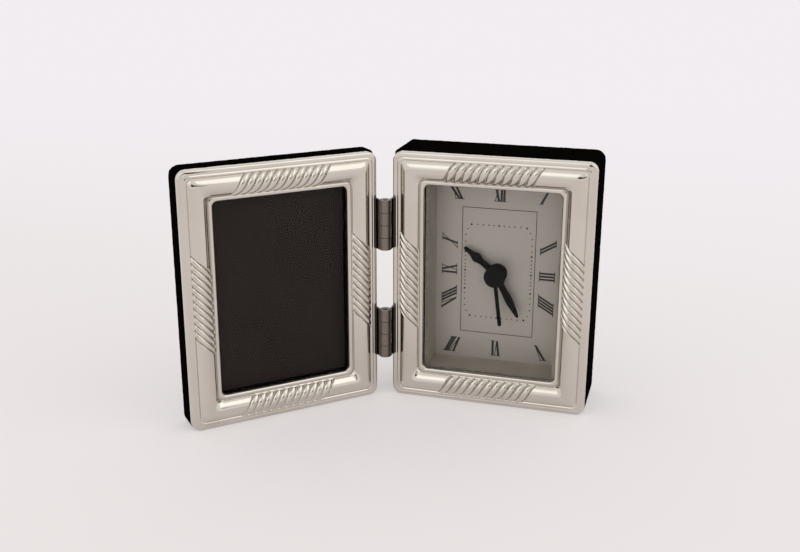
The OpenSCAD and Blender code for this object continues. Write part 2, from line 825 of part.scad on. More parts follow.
module coil_winding() {
    x0 = coil_x0 + leg_w + 0.7;
    x1 = coil_x1 - leg_w - 0.7;
    color([0.72, 0.4, 0.2]) in_movement() translate([0, coil_y, -stator_layer + coil_r + 0.3]) rotate([0, 90, 0])
        translate([0, 0, x0]) difference() {
            cylinder(r = coil_r - 0.2, h = x1 - x0);
            translate([0, 0, -cut]) cylinder(r = core_r, h = x1 - x0 + 2 * cut);
        }
}

// Circuit board against the back wall, with the crystal lying on it
board_t = 0.8;
board = [19, 18];
board_at = [6.5, 7.5];

module circuit_board() {
    color([0.1, 0.35, 0.2]) in_movement()
        translate([board_at[0], board_at[1], -back_inside]) cube([board[0], board[1], board_t]);
}

module quartz_crystal() {
    can_r = 1;
    color([0.8, 0.8, 0.82]) in_movement()
        translate([board_at[0] + 4, board_at[1] + 4, -back_inside + board_t + can_r])
        rotate([0, 90, 0]) cylinder(r = can_r, h = 6);
}

// Battery and its two contacts

module contact(x) {
    color([0.8, 0.8, 0.78]) in_movement()
        translate([x, cell_y - 3.5, cell_z - 3.5]) cube([contact_t, 7, 7]);
}

module contact_positive() {
    contact(cell_l / 2);
}

module contact_negative() {
    contact(-cell_l / 2 - contact_t);
}

module battery() {
    nub_l = 1;
    nub_r = 1.9;
    color([0.75, 0.75, 0.72]) in_movement() translate([-cell_l / 2, cell_y, cell_z]) rotate([0, 90, 0]) {
        cylinder(r = cell_r, h = cell_l - nub_l);
        cylinder(r = nub_r, h = cell_l);
    }
}

// Hinges: knuckles alternate between the two leaves along each pin

knuckles = 4;
knuckle_l = hinge_l / knuckles;
knuckle_gap = 0.2;
screw_r = 0.9;
screw_head_r = 1.7;
screw_l = 6;
screw_spread = 7;
screw_back = 5.6;
screw_cone = screw_head_r - screw_r;
upper_y = frame_h / 2 - hinge_drop + hinge_offset;
lower_y = frame_h / 2 - hinge_drop - hinge_offset;

// Runs its children at each screw place on the side at x
module each_screw(x) {
    for (middle = [lower_y, upper_y]) for (side = [-1, 1])
        translate([x, middle + side * screw_spread, -screw_back]) children();
}

// One leaf for the left side of a frame, which starts at X = 0. Its own knuckles are those whose number leaves first.
module leaf(middle, first, bore) {
    y0 = middle - hinge_l / 2;
    difference() {
        union() {
            difference() {
                translate([-leaf_t, y0, -leaf_w]) cube([leaf_t, hinge_l, leaf_w + hinge_forward]);
                for (k = [0:knuckles - 1]) if (k % 2 != first)
                    translate([-barrel_r, y0 + k * knuckle_l - knuckle_gap / 2, hinge_forward])
                        rotate([-90, 0, 0]) cylinder(r = barrel_r + 0.15, h = knuckle_l + knuckle_gap);
            }
            for (k = [0:knuckles - 1]) if (k % 2 == first)
                translate([-barrel_r, y0 + k * knuckle_l + knuckle_gap / 2, hinge_forward])
                    rotate([-90, 0, 0]) cylinder(r = barrel_r, h = knuckle_l - knuckle_gap);
        }
        translate([-barrel_r, y0 - cut, hinge_forward])
            rotate([-90, 0, 0]) cylinder(r = bore, h = hinge_l + 2 * cut);
        // Countersunk screw holes
        for (side = [-1, 1]) translate([-leaf_t, middle + side * screw_spread, -screw_back]) rotate([0, 90, 0]) {
            translate([0, 0, -join]) cylinder(r = screw_r, h = leaf_t + 2 * join);
            cylinder(r1 = screw_head_r, r2 = screw_r, h = screw_cone);
        }
    }
}

// The photo half's leaves lie on its right side, so they are the same leaf turned over
module turned_leaf(middle, first, bore) {
    translate([frame_w, 0, 0]) mirror([1, 0, 0]) leaf(middle, first, bore);
}

module upper_clock_leaf() {
    color(steel) clock_half() leaf(upper_y, 0, hinge_pin_r);
}

module lower_clock_leaf() {
    color(steel) clock_half() leaf(lower_y, 0, hinge_pin_r);
}

module upper_photo_leaf() {
    color(steel) photo_half() turned_leaf(upper_y, 1, hinge_pin_r + shaft_fit);
}

module lower_photo_leaf() {
    color(steel) photo_half() turned_leaf(lower_y, 1, hinge_pin_r + shaft_fit);
}

module hinge_pin(middle) {
    color(steel) clock_half() translate([-barrel_r, middle - hinge_l / 2 - 0.1, hinge_forward])
        rotate([-90, 0, 0]) cylinder(r = hinge_pin_r, h = hinge_l + 0.2);
}

module upper_hinge_pin() {
    hinge_pin(upper_y);
}

module lower_hinge_pin() {
    hinge_pin(lower_y);
}

// Countersunk wood screws of one half, whose heads lie flush with the leaves
module screws() {
    each_screw(-leaf_t) rotate([0, 90, 0]) {
        cylinder(r1 = screw_head_r, r2 = screw_r, h = screw_cone);
        cylinder(r = screw_r, h = leaf_t + screw_l);
    }
}

module clock_hinge_screws() {
    color(steel) clock_half() screws();
}

module photo_hinge_screws() {
    color(steel) photo_half() translate([frame_w, 0, 0]) mirror([1, 0, 0]) screws();
}

photo_front();
photo_glass();
photo_case();
photo_backing();
clock_front();
clock_glass();
clock_case();
dial_well();
dial();
dial_washer();
dial_nut();
hour_hand();
minute_hand();
second_hand();
movement_front();
movement_back();
minute_pinion();
hour_wheel();
motion_wheel();
set_knob();
centre_wheel();
third_wheel();
seconds_wheel();
intermediate_wheel();
rotor();
stator();
coil_bobbin();
coil_winding();
circuit_board();
quartz_crystal();
contact_positive();
contact_negative();
battery();
upper_clock_leaf();
upper_photo_leaf();
upper_hinge_pin();
lower_clock_leaf();
lower_photo_leaf();
lower_hinge_pin();
clock_hinge_screws();
photo_hinge_screws();
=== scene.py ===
import json
import math

import bmesh
import bpy
from mathutils import Matrix, Vector, noise


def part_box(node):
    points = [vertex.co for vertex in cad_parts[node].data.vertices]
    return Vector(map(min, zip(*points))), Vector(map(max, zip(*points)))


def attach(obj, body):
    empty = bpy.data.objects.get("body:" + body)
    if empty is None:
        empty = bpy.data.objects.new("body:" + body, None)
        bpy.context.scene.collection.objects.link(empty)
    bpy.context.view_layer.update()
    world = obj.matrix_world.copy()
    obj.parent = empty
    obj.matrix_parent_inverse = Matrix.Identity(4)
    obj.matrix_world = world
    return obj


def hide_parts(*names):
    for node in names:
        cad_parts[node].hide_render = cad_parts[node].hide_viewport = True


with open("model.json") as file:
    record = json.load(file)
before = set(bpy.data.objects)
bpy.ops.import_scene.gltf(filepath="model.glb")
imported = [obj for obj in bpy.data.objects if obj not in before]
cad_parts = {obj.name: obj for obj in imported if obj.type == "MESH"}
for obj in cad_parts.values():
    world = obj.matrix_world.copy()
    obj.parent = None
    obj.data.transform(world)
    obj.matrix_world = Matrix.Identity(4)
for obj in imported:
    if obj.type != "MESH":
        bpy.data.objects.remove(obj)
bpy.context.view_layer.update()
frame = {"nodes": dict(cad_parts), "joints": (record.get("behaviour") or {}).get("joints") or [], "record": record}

bl_info = {
    "name": "Photo frame clock",
    "version": (1, 0, 0),
    "blender": (4, 5, 0),
    "location": "3D View > Sidebar > Frame clock",
    "description": "Looks and stage of a folding photo frame with a clock",
    "category": "Object",
}

MM = 0.001
# The hands turn on a line along Y through this point
HAND_AXIS = Vector((0.0, 0.0, 0.055))

# Sizes of each half, as it is drawn lying on its back: X across, Y up the frame and Z towards the viewer,
# with the lower left corner at the origin and the rim at Z = 0, in millimetres
WIDE, HIGH = 85.3, 110.0
DEPTH = {"clock_half": 31.0, "photo_half": 14.2}
DIAL_DEEP = 18.9

# The clock half's rim, the fold's pin, how far the pin stands beside the photo half and in front of its rim,
# and how far that half is turned
RIM_Y = -15.5
PIN = Vector(next(joint["pos_m"] for joint in frame["joints"] if joint["name"] == "fold"))
PIN_GAP, PIN_FORWARD = 2.5, 2.0
FOLD = math.radians(44)


def half_place(body):
    """Matrix from a half as drawn, in millimetres, to its place in the model"""
    lying = Matrix.Rotation(math.pi / 2, 4, "X") @ Matrix.Scale(MM, 4)
    if body == "clock_half":
        return Matrix.Translation((-WIDE / 2 * MM, RIM_Y * MM, 0)) @ lying
    return Matrix.Translation((PIN.x, PIN.y, 0)) @ Matrix.Rotation(FOLD, 4, "Z") @ \
        Matrix.Translation((-(PIN_GAP + WIDE) * MM, PIN_FORWARD * MM, 0)) @ lying


# Settings

def length(name, description, default):
    return bpy.props.FloatProperty(name=name, description=description, default=default, subtype="DISTANCE",
                                   unit="LENGTH")


def colour(name, description, default):
    return bpy.props.FloatVectorProperty(name=name, description=description, default=default,
                                         subtype="COLOR", size=3, min=0.0, max=1.0)


def share(name, description, default):
    return bpy.props.FloatProperty(name=name, description=description, default=default, subtype="FACTOR",
                                   min=0.0, max=1.0)


class FinishSettings(bpy.types.PropertyGroup):
    """Colours and surface qualities of the object's materials"""
    silver: colour("Silver", "Colour of the polished sheet", (0.67, 0.628, 0.572))
    silver_shade: colour("Silver shade", "Colour where the polish is older", (0.632, 0.583, 0.523))
    # Colour laid into the silver's grooves, steps and reed valleys: partly tarnish, partly painted shade for the
    # shadow and dark reflections in those hollows
    tarnish_and_shade: colour("Tarnish and shade", "Colour at the bottom of the grooves", (0.075, 0.055, 0.04))
    silver_roughness: share("Silver roughness", "How dull the polished sheet is", 0.09)
    silver_wave: length("Silver wave", "Height of the soft waves in the pressed sheet", 0.03 * MM)
    flock: colour("Flock", "Colour of the velvety cases", (0.0013, 0.0008, 0.0008))
    flock_nap: length("Nap", "How far the flock stands up and down", 0.16 * MM)
    flock_lift: length("Flock lift", "How far the flock stands off the block", 0.2 * MM)
    flock_grid: length("Flock grid", "Size of the cells the flocked cases are made of", 0.9 * MM)
    card: colour("Board", "Colour of the board behind the photo pane", (0.0178, 0.0102, 0.0084))
    dial: colour("Dial", "Colour of the dial plate", (0.50, 0.452, 0.42))
    well: colour("Well", "Colour of the walls round the dial", (0.485, 0.43, 0.37))
    print_ink: colour("Ink", "Colour of the dial print", (0.018, 0.013, 0.012))
    lacquer: colour("Lacquer", "Colour of the hands", (0.0028, 0.0017, 0.0021))
    steel: colour("Hinge steel", "Colour of the hinges", (0.225, 0.187, 0.163))


class DialSettings(bpy.types.PropertyGroup):
    """Sizes of the print on the dial"""
    line_width: length("Line frame width", "Width of the thin rectangle", 32.4 * MM)
    line_height: length("Line frame height", "Height of the thin rectangle", 57.3 * MM)
    line_weight: length("Line weight", "Width of its line", 0.3 * MM)
    track_width: length("Track width", "Width of the dotted minute track", 29.3 * MM)
    track_height: length("Track height", "Height of the dotted minute track", 42.4 * MM)
    dot_small: length("Small dot", "Diameter of a minute dot", 0.62 * MM)
    dot_large: length("Large dot", "Diameter of a five minute dot", 0.9 * MM)
    side_inner: length("Side numerals, inner edge", "From the hand axis", 18.35 * MM)
    side_outer: length("Side numerals, outer edge", "From the hand axis", 25.0 * MM)
    end_inner: length("Top and bottom numerals, inner edge", "From the hand axis", 32.15 * MM)
    end_outer: length("Top and bottom numerals, outer edge", "From the hand axis", 39.1 * MM)
    thick: length("Thick stroke", "Width of a thick stroke", 0.88 * MM)
    thin: length("Thin stroke", "Width of a thin stroke or serif", 0.35 * MM)
    ink_height: length("Ink height", "How far the ink stands off the dial", 0.02 * MM)


class StageSettings(bpy.types.PropertyGroup):
    """Floor, light and camera"""
    floor_near: colour("Floor, near", "Floor colour in front", (0.85, 0.81, 0.81))
    floor_far: colour("Floor, far", "Floor colour behind", (0.885, 0.85, 0.88))
    sky: bpy.props.FloatProperty(name="Sky", description="Strength of the even light", default=0.92, min=0.0)
    softbox: bpy.props.FloatProperty(name="Softbox", description="Power of the soft light at the right",
                                     default=1.35, min=0.0, unit="POWER")
    lens: bpy.props.FloatProperty(name="Lens", description="Focal length", default=47.601, min=1.0,
                                  subtype="DISTANCE_CAMERA")
    camera_place: bpy.props.FloatVectorProperty(name="Camera", description="Where the camera stands",
                                                default=(0.0822173, -0.4323294, 0.197436), subtype="XYZ",
                                                unit="LENGTH")
    camera_yaw: bpy.props.FloatProperty(name="Yaw", description="Turn of the view to the right",
                                        default=math.radians(-16.228), subtype="ANGLE", unit="ROTATION")
    camera_pitch: bpy.props.FloatProperty(name="Pitch", description="How far the view looks down",
                                          default=math.radians(18.077), subtype="ANGLE", unit="ROTATION")
    camera_roll: bpy.props.FloatProperty(name="Roll", description="Tilt of the view",
                                         default=math.radians(0.117), subtype="ANGLE", unit="ROTATION")


# Shader maths

class Socket:
    """A socket of a material. Arithmetic on it adds Math nodes."""

    def __init__(self, shade, socket):
        self.shade, self.socket = shade, socket

    def __add__(self, other):
        return self.shade.math("ADD", self, other)

    def __radd__(self, other):
        return self.shade.math("ADD", other, self)

    def __sub__(self, other):
        return self.shade.math("SUBTRACT", self, other)

    def __rsub__(self, other):
        return self.shade.math("SUBTRACT", other, self)

    def __mul__(self, other):
        return self.shade.math("MULTIPLY", self, other)

    def __rmul__(self, other):
        return self.shade.math("MULTIPLY", other, self)


class Shade:
    """A material's node tree."""

    def __init__(self, name):
        self.material = bpy.data.materials.new(name)
        self.material.use_nodes = True
        self.tree = self.material.node_tree
        self.tree.nodes.clear()

    def add(self, kind, settings=None, inputs=None, out=0):
        """Adds a node with its settings and the values or links of its sockets"""
        node = self.tree.nodes.new(kind)
        for key, value in (settings or {}).items():
            setattr(node, key, value)
        for key, value in (inputs or {}).items():
            socket = node.inputs[key]
            if isinstance(value, Socket):
                self.tree.links.new(value.socket, socket)
            else:
                socket.default_value = value
        return Socket(self, node.outputs[out])

    def math(self, operation, *values):
        return self.add("ShaderNodeMath", {"operation": operation}, dict(enumerate(values)))

    def mix(self, factor, a, b):
        """Blends two colours, at the Mix node's sockets 6 and 7"""
        a, b = (tint if isinstance(tint, Socket) else (*tint, 1) for tint in (a, b))
        return self.add("ShaderNodeMix", {"data_type": "RGBA"}, {0: factor, 6: a, 7: b}, out=2)

    def place(self, scale=(1, 1, 1)):
        """Object coordinates, multiplied by a scale"""
        coordinates = self.add("ShaderNodeTexCoord", out="Object")
        return self.add("ShaderNodeMapping", inputs={"Vector": coordinates, "Scale": scale})

    def noise(self, place, size, detail=2.0, roughness=0.5):
        """Smooth noise with features about size metres across"""
        return self.add("ShaderNodeTexNoise", inputs={"Vector": place, "Scale": 1 / size, "Detail": detail,
                                                      "Roughness": roughness})

    def span(self, value, low, high, to_low=0.0, to_high=1.0):
        """Turns a value between low and high smoothly into one between to_low and to_high"""
        return self.add("ShaderNodeMapRange", {"interpolation_type": "SMOOTHSTEP"},
                        {"Value": value, "From Min": low, "From Max": high,
                         "To Min": to_low, "To Max": to_high})

    def bump(self, height, distance, under=None):
        """Relief, laid over another one where that is given"""
        inputs = {"Height": height, "Distance": distance}
        if under:
            inputs["Normal"] = under
        return self.add("ShaderNodeBump", inputs=inputs)

    def finish(self, **inputs):
        """Ends the material in a Principled BSDF, whose sockets have underscores for spaces here"""
        values = {}
        for key, value in inputs.items():
            is_colour = isinstance(value, tuple) and len(value) == 3
            values[key.replace("_", " ")] = (*value, 1) if is_colour else value
        return self.output(self.add("ShaderNodeBsdfPrincipled", inputs=values))

    def output(self, shader):
        out = self.tree.nodes.new("ShaderNodeOutputMaterial")
        self.tree.links.new(shader.socket, out.inputs["Surface"])
        return self.material


# Finishes

def toned(tint, factor):
    """A colour made lighter or darker"""
    return tuple(factor * c for c in tint)


def polished_silver(s):
    m = Shade("polished_silver")
    p = m.place()
    age = m.span(m.noise(p, 21 * MM, 4), 0.35, 0.75)
    smear = m.noise(p, 5 * MM, 5, 0.65)
    waves = m.bump(m.noise(p, 13 * MM, 1), s.silver_wave)
    rubbing_and_front_light = m.bump(m.noise(p, 0.7 * MM, 2), 0.0009 * MM, under=waves)
    # The groove attribute darkens the silver towards the tarnish colour: partly tarnish, partly painted shade in
    # the hollows
    groove = m.add("ShaderNodeAttribute", {"attribute_name": "groove"}, out="Fac")
    bare_silver = m.mix(age, tuple(s.silver), tuple(s.silver_shade))
    return m.finish(Base_Color=m.mix(groove, bare_silver, tuple(s.tarnish_and_shade)), Metallic=1.0,
                    Roughness=s.silver_roughness + 0.07 * (smear - 0.5) + 0.15 * groove, Normal=rubbing_and_front_light)


def black_flock(s):
    m = Shade("black_flock")
    p = m.place()
    nap = m.noise(p, 0.22 * MM, 3, 0.7)
    drift = m.span(m.noise(p, 9 * MM, 3), 0.3, 0.7)
    dark = tuple(s.flock)
    return m.finish(Base_Color=m.mix(nap * 0.6 + drift * 0.4, dark, toned(dark, 2.4)),
                    Roughness=1.0, Specular_IOR_Level=0.0, Sheen_Weight=0.0015, Sheen_Roughness=0.4,
                    Normal=m.bump(nap, 0.12 * MM))


def clear_glass():
    m = Shade("clear_glass")
    through = m.add("ShaderNodeBsdfTransparent", inputs={"Color": (0.97, 0.98, 0.975, 1)})
    gloss = m.add("ShaderNodeBsdfGlossy", inputs={"Color": (1, 1, 1, 1), "Roughness": 0.0})
    rim = m.add("ShaderNodeFresnel", inputs={"IOR": 1.15})
    return m.output(m.add("ShaderNodeMixShader", inputs={0: rim, 1: through, 2: gloss}))


def covered_board(s):
    m = Shade("covered_board")
    p = m.place()
    streaks = m.noise(m.place((9, 9, 1)), 4 * MM, 3, 0.6)
    cloud = m.span(m.noise(p, 24 * MM, 3), 0.3, 0.75)
    base = tuple(s.card)
    return m.finish(Base_Color=m.mix(cloud * 0.7 + streaks * 0.3, toned(base, 0.9), toned(base, 1.15)),
                    Roughness=0.7, Specular_IOR_Level=0.15)


def satin_well(s):
    m = Shade("satin_well")
    p = m.place()
    grain = m.noise(p, 0.4 * MM, 2)
    cloud = m.span(m.noise(p, 14 * MM, 2), 0.3, 0.7)
    base = tuple(s.well)
    return m.finish(Base_Color=m.mix(cloud, base, toned(base, 0.86)), Roughness=0.5 + 0.1 * grain,
                    Normal=m.bump(grain, 0.004 * MM))


def silky_dial(s):
    m = Shade("silky_dial")
    p = m.place((1, 1, 9))
    silk = m.noise(p, 1.6 * MM, 4, 0.6)
    grain = m.noise(m.place(), 0.25 * MM, 2)
    base = tuple(s.dial)
    return m.finish(Base_Color=m.mix(silk, toned(base, 0.94), toned(base, 1.06)), Metallic=0.35,
                    Roughness=0.45 + 0.08 * grain)


def dial_ink(s):
    m = Shade("dial_ink")
    wear = m.noise(m.place(), 0.3 * MM, 2)
    base = tuple(s.print_ink)
    return m.finish(Base_Color=m.mix(wear, base, toned(base, 1.8)), Roughness=0.42 + 0.2 * wear)


def black_lacquer(s):
    m = Shade("black_lacquer")
    dust = m.noise(m.place(), 0.35 * MM, 3)
    base = tuple(s.lacquer)
    return m.finish(Base_Color=m.mix(dust, base, toned(base, 1.7)), Roughness=0.4 + 0.14 * dust,
                    Specular_IOR_Level=0.07)


def metal(name, light, dark, stretch, grain_size, roughness):
    """A worked metal: streaks across the direction that is scaled up, and a fine grain"""
    m = Shade(name)
    streaks = m.noise(m.place(stretch), grain_size, 4, 0.65)
    patches = m.span(m.noise(m.place(), 6 * MM, 3), 0.3, 0.75)
    return m.finish(Base_Color=m.mix(patches * 0.5 + streaks * 0.5, light, dark), Metallic=1.0,
                    Roughness=roughness + 0.18 * (streaks - 0.5), Normal=m.bump(streaks, 0.002 * MM))


def hinge_with_painted_shade(light, dark):
    """Steel that keeps its colour along the front of its barrel and is painted dark on the barrel's sides and the
    leaves, as painted shade
    """
    m = Shade("rolled_steel")
    # Painted shade: the steel keeps its colour where it stands in front of the pin, and is darker at the barrel's
    # sides and on the leaves behind it
    ahead = PIN.y - m.add("ShaderNodeSeparateXYZ", inputs={0: m.place()}, out="Y")
    streaks = m.noise(m.place((1, 1, 7)), 0.5 * MM, 4, 0.65)
    rubbing_and_front_light = m.span(ahead + (streaks - 0.5) * (0.5 * MM), 1.2 * MM, 2.3 * MM)
    return m.finish(Base_Color=m.mix(rubbing_and_front_light, dark, light), Metallic=1.0,
                    Roughness=0.22 + 0.18 * (streaks - 0.5), Normal=m.bump(streaks, 0.004 * MM))


def plastic(name, base, grain_size, roughness, cut, clear=0.0):
    """Moulded plastic with a fine spark-eroded grain"""
    m = Shade(name)
    p = m.place()
    grain = m.noise(p, grain_size, 2)
    flow = m.span(m.noise(p, 11 * MM, 2), 0.3, 0.7)
    return m.finish(Base_Color=m.mix(flow, base, toned(base, 0.88)),
                    Roughness=roughness + 0.12 * (grain - 0.5), Normal=m.bump(grain, cut * MM),
                    Subsurface_Weight=clear, Subsurface_Scale=0.3 * MM)


def laminate():
    """Board with tracks that show faintly through its lacquer"""
    m = Shade("green_laminate")
    tracks = m.add("ShaderNodeTexWave", {"wave_type": "BANDS", "bands_direction": "DIAGONAL"},
                   {"Vector": m.place(), "Scale": 0.32 / (1.1 * MM), "Distortion": 4.0, "Detail": 1.0},
                   out="Fac")
    shown = m.span(tracks, 0.62, 0.72)
    return m.finish(Base_Color=m.mix(shown, (0.03, 0.15, 0.06), (0.09, 0.27, 0.12)),
                    Roughness=0.32 + 0.1 * shown, Coat_Weight=0.3, Normal=m.bump(shown, 0.02 * MM))


def wound_copper():
    """Fine enamelled wire, laid turn beside turn"""
    m = Shade("wound_copper")
    turns = m.add("ShaderNodeTexWave", {"wave_type": "BANDS", "bands_direction": "X"},
                  {"Vector": m.place(), "Scale": 0.32 / (0.12 * MM)}, out="Fac")
    return m.finish(Base_Color=m.mix(turns, (0.25, 0.07, 0.025), (0.62, 0.24, 0.1)), Metallic=0.8,
                    Roughness=0.35 + 0.1 * turns, Normal=m.bump(turns, 0.03 * MM))


def materials(s):
    """Material for each of the record's slots"""
    steel = tuple(s.steel)
    return {
        "silver": polished_silver(s),
        "velvet": black_flock(s),
        "glass": clear_glass(),
        "card": covered_board(s),
        "grey_well": satin_well(s),
        "dial": silky_dial(s),
        "hand_black": black_lacquer(s),
        "black_nut": metal("blackened_brass", (0.03, 0.024, 0.024), (0.06, 0.045, 0.035), (1, 8, 1),
                           0.3 * MM, 0.45),
        "black_plastic": plastic("black_moulding", (0.022, 0.022, 0.024), 0.3 * MM, 0.48, 0.02),
        "nylon": plastic("white_nylon", (0.82, 0.81, 0.75), 0.6 * MM, 0.4, 0.003, 0.2),
        "motor_steel": metal("stamped_steel", (0.52, 0.52, 0.53), (0.38, 0.38, 0.4), (12, 1, 1),
                             0.8 * MM, 0.35),
        "copper": wound_copper(),
        "board": laminate(),
        "can": metal("tinned_can", (0.76, 0.76, 0.77), (0.6, 0.6, 0.62), (1, 1, 6), 0.5 * MM, 0.28),
        "cell": metal("plain_jacket", (0.6, 0.6, 0.585), (0.5, 0.5, 0.49), (1, 1, 14), 0.9 * MM, 0.3),
        "hinge_steel": hinge_with_painted_shade(steel, toned(steel, 0.27)),
    }


# Mesh helpers

FINISH_NAMES = {}


def finish_of(slot):
    """The material that the finishes operator made for a slot, or the one of that name"""
    return bpy.data.materials[FINISH_NAMES.get(slot, slot)]


def linked_object(name, bm, material):
    """Makes a bmesh an object of the scene, in one material"""
    mesh = bpy.data.meshes.new(name)
    bm.to_mesh(mesh)
    bm.free()
    mesh.materials.append(material)
    made = bpy.data.objects.new(name, mesh)
    bpy.context.scene.collection.objects.link(made)
    return made


def new_piece(name, bm, material, body, smooth=False):
    """Makes a bmesh a piece that rides on a body, with its faces turned outwards"""
    bmesh.ops.recalc_face_normals(bm, faces=bm.faces)
    piece = linked_object(name, bm, material)
    if smooth:
        piece.data.shade_smooth()
    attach(piece, body)
    return piece


def block(middle, size):
    """Matrix that makes a box of a unit cube"""
    return Matrix.Translation(middle) @ Matrix.Diagonal((*size, 1))


def ease(bm, edges, offset, segments):
    """Rounds edges"""
    bmesh.ops.bevel(bm, geom=edges, offset=offset, segments=segments, profile=0.5, affect="EDGES",
                    material=-1)


# Operators

class FRAMECLOCK_OT_finishes(bpy.types.Operator):
    """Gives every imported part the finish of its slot"""
    bl_idname = "frameclock.finishes"
    bl_label = "Finishes"

    def execute(self, context):
        made = materials(context.scene.frameclock_finish)
        FINISH_NAMES.update({slot: material.name for slot, material in made.items()})
        for part in frame["record"]["subparts"]:
            node = frame["nodes"][part["node"]]
            node.data.materials.clear()
            node.data.materials.append(made[part["material_slot"]])
        dial_ink(context.scene.frameclock_finish)
        return {"FINISHED"}


# The rows of reeds. REED_MIDDLE and REED_REACH are the middle of a row, inwards from the outer edge, and how
# far it reaches from there. ROW_REACH and COLUMN_REACH are how far the reeds and the grid's close columns may
# reach along the side from its middle.
REED_COUNT = 11
REED_MIDDLE, REED_REACH = 7.45, 4.45
ROW_REACH, COLUMN_REACH = 23.6, 23.7
# Pitch, slant and shift along the side of the rows at the bottom, right, top and left. Those at the left and
# right lean more, are a little closer and sit a little lower.
END_ROW = (3.38, math.radians(27), 0.0)
ROWS = (END_ROW, (3.14, math.radians(41), -0.7), END_ROW, (3.14, math.radians(41), 0.7))


def moulding():
    """The pressed sheet's section from the skirt's back edge to the window: distance inwards, height, height
    under the reeds, and how dark it is there, partly tarnish and partly painted shade"""
    rim_s, rim_z, rim_drop = 0.95, 0.85, 0.62
    ovolo_s, ovolo_r, ovolo_from, ovolo_to, crest = 7.3, 4.9, 3.5, 11.42, 1.45
    step, step_bottom, step_end, lip, lip_z = 11.4, 11.75, 12.1, 12.3, -1.2
    skirt = [(0, -3.3), (0, -2.6), (0, -1.9)]
    rim = [(rim_s * (1 - math.cos(a)), rim_z * (math.sin(a) - 1) - rim_drop * (1 - math.sin(a) * 0.16))
           for a in (math.pi / 20 * i for i in range(10))]
    groove = [(1.0, -0.48), (1.3, -0.42), (1.6, -0.36), (1.82, -0.33), (1.92, -0.36), (2.02, -0.42),
              (2.12, -0.43), (2.22, -0.37), (2.34, -0.28)]
    bead = [(2.5, -0.2), (2.68, -0.14), (2.86, -0.11), (3.0, -0.12), (3.14, -0.17), (3.26, -0.24),
            (3.38, -0.32)]
    low, high = math.acos((ovolo_from - ovolo_s) / ovolo_r), math.acos((ovolo_to - ovolo_s) / ovolo_r)
    ovolo = [(ovolo_s + ovolo_r * math.cos(a), crest - ovolo_r + ovolo_r * math.sin(a))
             for a in (low + (high - low) * i / 36 for i in range(37))]
    inner = [(11.54, -1.02), (11.66, -1.18), (11.79, -1.22), (11.92, -1.15), (12.06, -1.03), (12.24, -0.96),
             (12.5, -0.94), (12.85, -0.95), (13.1, -1.01), (13.32, -1.16), (13.5, -1.42), (13.62, -1.8),
             (13.68, -2.2), (13.7, -2.7)]
    # Behind the sheet the section is closed along the seat on the case
    back = [(0.65, -2.7), (0.65, -3.3), (0, -3.3)]
    section = []
    for s, z in skirt + rim + groove + bead + ovolo + inner + back:
        under = -0.86 - 0.14 * (s - step) / 0.6 if step < s < step_end else z
        # Tarnish and painted shade: darkest at the bottom of the step, and darker the deeper the lip rolls down
        # into the window
        tarnish_and_shade = max(0.0, 0.45 - abs(s - step_bottom) / 0.9, 0.4 * (lip_z - z) if s > lip else 0.0)
        section.append((s, z, under, min(tarnish_and_shade, 0.5)))
    return section


def smooth(value):
    """Eases a value from 0 to 1"""
    value = min(1.0, max(0.0, value))
    return value * value * (3 - 2 * value)


def reed_rise(x, s, side):
    """Height of the reeds over the sheet, how dark the place is painted, as tarnish and shade in the valleys,
    and how much of it is reeded, x along the side from its middle and s inwards from the outer edge. The grooves
    between the reeds run in a slanted S that hooks into the sheet's own lines at both ends."""
    hook, proud, deep, run_out, fade = 1.15, 0.38, 0.9, 0.8, 0.45
    pitch, slant, low = ROWS[side]
    u = s - REED_MIDDLE
    shift = math.tan(slant) * u + hook * math.copysign(min(1.0, abs(u) / REED_REACH) ** 5, u)
    lean = (x - low - shift) / pitch
    ends = smooth((REED_REACH - abs(u)) / run_out)
    beyond = (abs(lean) - REED_COUNT / 2) * pitch * math.cos(slant)
    if beyond > 0:
        left = 1 - smooth(beyond / fade)
        # Past the last reed the sheet dips and is darkened, as tarnish and painted shade
        return (proud - deep) * left * ends, 0.35 * left * ends, left
    # A reed's back is the top of an ellipse, cut off at its foot
    part = lean - round(lean)
    foot = math.sqrt(0.075)
    arch = (math.sqrt(1 - 3.7 * part * part) - foot) / (1 - foot)
    # Darker towards the bottom of each valley between the reeds: tarnish and painted shade
    return (proud - deep * (1 - arch)) * ends, max(0.0, 0.5 - arch) * 0.9 * ends, 1.0


def side_columns(long, s, radius):
    """Places along one side from corner to corner, on the line at s, close together where there are reeds"""
    close, spare = 230, 4
    straight = long / 2 - s - radius
    ends = [straight - (straight - COLUMN_REACH) * i / spare for i in range(spare)]
    middle = [-COLUMN_REACH + 2 * COLUMN_REACH * i / close for i in range(close + 1)]
    return [-x for x in ends] + middle + ends[::-1]


